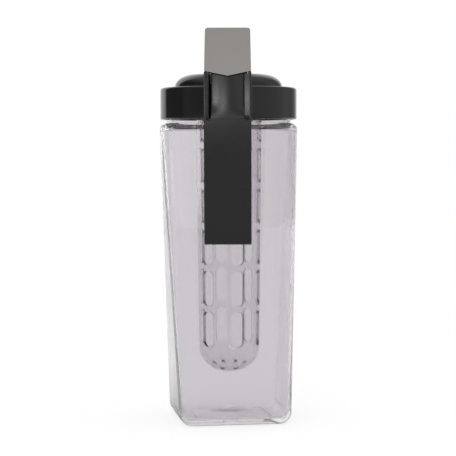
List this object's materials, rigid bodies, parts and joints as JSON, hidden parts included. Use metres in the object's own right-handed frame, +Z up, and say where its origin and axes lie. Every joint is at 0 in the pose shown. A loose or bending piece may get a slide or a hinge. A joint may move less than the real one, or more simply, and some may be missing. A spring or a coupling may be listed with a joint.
{
  "type": "plastic jug",
  "caption": "Clear plastic infuser jug with a screw lid, a flip cover opened by a thumb lever on the handle, a pouring beak and a hanging slotted infuser tube.",
  "frame": {"origin": "on the surface the jug stands on, below the middle of the whole object's box; the jug's own axis is 14.75 mm along +Y from it", "axes": "+Z up, +Y from the handle towards the pouring beak, +X to the right when the handle faces the viewer"},
  "size_m": [0.1006, 0.1435, 0.282],
  "materials": {
    "clear_body": "clear, faintly smoky, polished inside and out",
    "clear_infuser": "clear, polished",
    "black_plastic": "black, semi-gloss moulding",
    "grey_plastic": "warm mid grey, fine matt moulding",
    "seal": "translucent grey silicone",
    "steel": "bright stainless"
  },
  "bodies": {
    "jug": {"jug_body": "clear_body"},
    "lid_ring": {"lid_seal": "seal"},
    "lid": {"lid_shell": "black_plastic", "strainer": "black_plastic", "handle_grip": "black_plastic", "grip_inner": "black_plastic", "handle_screw_left": "steel", "handle_screw_right": "steel", "grip_screw_lower": "steel", "grip_screw_upper": "steel", "cover_pin": "steel", "cover_spring": "steel", "lever_pin": "steel", "lever_spring": "steel"},
    "cover": {"flip_cover": "black_plastic", "cover_seal": "seal"},
    "lever": {"thumb_lever": "black_plastic", "thumb_pad": "grey_plastic"},
    "infuser_ring": {"infuser_gasket": "seal"},
    "infuser": {"infuser_tube": "clear_infuser"}
  },
  "joints": [
    {"name": "lid_lift", "type": "slide", "parent": "jug", "child": "lid_ring", "axis": [0, 0, 1], "range_m": [0, 0.21]},
    {"name": "lid_turn", "type": "hinge", "parent": "lid_ring", "child": "lid", "pos_m": [0, 0.01475, 0.2393], "axis": [0, 0, 1], "range_deg": [0, 360]},
    {"name": "cover_open", "type": "hinge", "parent": "lid", "child": "cover", "pos_m": [0, -0.02975, 0.251], "axis": [1, 0, 0], "range_deg": [0, 48], "stiffness_Nm_per_rad": 0.03, "springref_deg": -28.65},
    {"name": "lever_press", "type": "hinge", "parent": "lid", "child": "lever", "pos_m": [0, -0.05525, 0.243], "axis": [1, 0, 0], "range_deg": [-16, 0], "stiffness_Nm_per_rad": 0.03, "springref_deg": 17.19},
    {"name": "infuser_pull", "type": "slide", "parent": "lid", "child": "infuser_ring", "axis": [0, 0, -1], "range_m": [0, 0.028]},
    {"name": "infuser_turn", "type": "hinge", "parent": "infuser_ring", "child": "infuser", "pos_m": [0, 0.01475, 0.2236], "axis": [0, 0, 1], "range_deg": [0, 90]}
  ],
  "couplings": [
    {"joint": "lever_press", "follows": "cover_open", "ratio": -0.3333}
  ]
}
